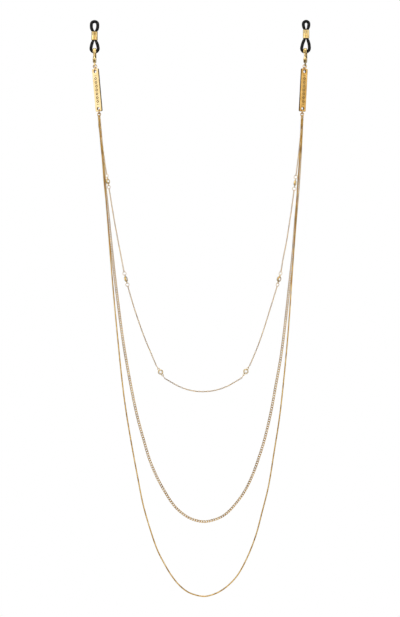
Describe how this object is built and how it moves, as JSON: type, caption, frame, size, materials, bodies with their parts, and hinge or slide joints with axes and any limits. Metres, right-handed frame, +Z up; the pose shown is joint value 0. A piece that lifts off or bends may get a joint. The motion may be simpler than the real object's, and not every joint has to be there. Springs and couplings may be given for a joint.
{
  "type": "eyeglasses chain strap",
  "caption": "Eyeglasses strap of layered gold chains with crystal stations, hung from drop bars, lobster clasps and silicone temple loops.",
  "frame": {"origin": "centre of the left temple loop's upper hole, where a glasses temple holds the strap", "axes": "+X from the left loop to the right loop, -Y to the viewer, +Z up"},
  "size_m": [0.1415, 0.0068, 0.3694],
  "materials": {
    "silicone": "smooth satin black",
    "gold": "polished gold plate",
    "bar_gold_pale": "polished pale gold plate",
    "bar_gold_deep": "polished deep gold plate",
    "spring_steel": "bare spring steel",
    "crystal": "cut clear crystal"
  },
  "bodies": {
    "temple_loops": {"left_rubber_loop": "silicone", "right_rubber_loop": "silicone"},
    "left_collar": {"left_collar": "gold"},
    "left_clasp": {"left_clasp_body": "gold", "left_clasp_rivet": "gold", "left_clasp_spring": "spring_steel", "left_clasp_ring": "gold"},
    "left_lever": {"left_clasp_lever": "gold"},
    "left_bar": {"left_bar_ring": "gold", "left_bar": "bar_gold_pale"},
    "right_collar": {"right_collar": "gold"},
    "right_clasp": {"right_clasp_body": "gold", "right_clasp_rivet": "gold", "right_clasp_spring": "spring_steel", "right_clasp_ring": "gold"},
    "right_lever": {"right_clasp_lever": "gold"},
    "right_bar": {"right_bar_ring": "gold", "right_bar": "bar_gold_deep"},
    "middle_chain": {"left_lower_ring": "gold", "right_lower_ring": "gold", "left_curb_end_ring": "gold", "right_curb_end_ring": "gold", "curb_chain": "gold"},
    "short_chain": {"left_cable_end_ring": "gold", "right_cable_end_ring": "gold", "cable_chain_1": "gold", "cable_chain_2": "gold", "cable_chain_3": "gold", "cable_chain_4": "gold", "cable_chain_5": "gold", "cable_chain_6": "gold", "cable_chain_7": "gold"},
    "long_chain": {"left_snake_end_ring": "gold", "right_snake_end_ring": "gold", "left_snake_end_cap": "gold", "right_snake_end_cap": "gold", "snake_chain": "gold"},
    "station_1": {"station_1_bezel": "gold", "station_1_crystal": "crystal"},
    "station_2": {"station_2_bezel": "gold", "station_2_crystal": "crystal"},
    "station_3": {"station_3_bezel": "gold", "station_3_crystal": "crystal"},
    "station_4": {"station_4_bezel": "gold", "station_4_crystal": "crystal"},
    "station_5": {"station_5_bezel": "gold", "station_5_crystal": "crystal"},
    "station_6": {"station_6_bezel": "gold", "station_6_crystal": "crystal"}
  },
  "joints": [
    {"name": "left_collar_slide", "type": "slide", "parent": "temple_loops", "child": "left_collar", "axis": [0, 0, 1], "range_m": [-0.003, 0.002], "deforming": ["left_rubber_loop"]},
    {"name": "left_clasp_swing", "type": "hinge", "parent": "temple_loops", "child": "left_clasp", "pos_m": [0.00005, 0, -0.01655], "axis": [1, 0, 0], "range_deg": [-30, 30]},
    {"name": "left_lever_open", "type": "hinge", "parent": "left_clasp", "child": "left_lever", "pos_m": [0.00005, -0.001, -0.02155], "axis": [-1, 0, 0], "range_deg": [0, 20], "stiffness_Nm_per_rad": 0.002, "springref_deg": -22.92, "deforming": ["left_clasp_spring"]},
    {"name": "left_bar_swing", "type": "hinge", "parent": "left_clasp", "child": "left_bar", "pos_m": [0.0003, 0, -0.02697], "axis": [1, 0, 0], "range_deg": [-35, 35]},
    {"name": "right_collar_slide", "type": "slide", "parent": "temple_loops", "child": "right_collar", "axis": [0, 0, 1], "range_m": [-0.003, 0.002], "deforming": ["right_rubber_loop"]},
    {"name": "right_clasp_swing", "type": "hinge", "parent": "temple_loops", "child": "right_clasp", "pos_m": [0.1349, 0, -0.01655], "axis": [1, 0, 0], "range_deg": [-30, 30]},
    {"name": "right_lever_open", "type": "hinge", "parent": "right_clasp", "child": "right_lever", "pos_m": [0.13473, -0.00098, -0.02155], "axis": [-0.9848, 0.1736, 0], "range_deg": [0, 20], "stiffness_Nm_per_rad": 0.002, "springref_deg": -22.92, "deforming": ["right_clasp_spring"]},
    {"name": "right_bar_swing", "type": "hinge", "parent": "right_clasp", "child": "right_bar", "pos_m": [0.13455, 0, -0.02697], "axis": [1, 0, 0], "range_deg": [-35, 35]},
    {"name": "middle_chain_swing", "type": "hinge", "parent": "left_bar", "child": "middle_chain", "pos_m": [0.00295, 0, -0.05478], "axis": [1, 0, 0], "range_deg": [-28, 28]},
    {"name": "short_chain_swing", "type": "hinge", "parent": "middle_chain", "child": "short_chain", "pos_m": [0.00295, 0, -0.05478], "axis": [1, 0, 0], "range_deg": [-12, 0]},
    {"name": "long_chain_swing", "type": "hinge", "parent": "middle_chain", "child": "long_chain", "pos_m": [0.00295, 0, -0.05478], "axis": [1, 0, 0], "range_deg": [0, 12]},
    {"name": "station_1_twist", "type": "hinge", "parent": "short_chain", "child": "station_1", "pos_m": [0.0086, -0.00215, -0.0996], "axis": [0.175, 0, -0.9846], "range_deg": [-30, 30]},
    {"name": "station_2_twist", "type": "hinge", "parent": "short_chain", "child": "station_2", "pos_m": [0.0202, -0.00215, -0.162], "axis": [0.2577, 0, -0.9662], "range_deg": [-30, 30]},
    {"name": "station_3_twist", "type": "hinge", "parent": "short_chain", "child": "station_3", "pos_m": [0.0423, -0.00215, -0.2214], "axis": [0.5547, 0, -0.8321], "range_deg": [-30, 30]},
    {"name": "station_4_twist", "type": "hinge", "parent": "short_chain", "child": "station_4", "pos_m": [0.0968, -0.00215, -0.221], "axis": [0.5369, 0, 0.8437], "range_deg": [-30, 30]},
    {"name": "station_5_twist", "type": "hinge", "parent": "short_chain", "child": "station_5", "pos_m": [0.118, -0.00215, -0.162], "axis": [0.2554, 0, 0.9668], "range_deg": [-30, 30]},
    {"name": "station_6_twist", "type": "hinge", "parent": "short_chain", "child": "station_6", "pos_m": [0.1282, -0.00215, -0.1006], "axis": [0.1293, 0, 0.9916], "range_deg": [-30, 30]}
  ],
  "couplings": [
    {"joint": "right_clasp_swing", "follows": "left_clasp_swing", "ratio": 1},
    {"joint": "right_bar_swing", "follows": "left_bar_swing", "ratio": 1}
  ]
}
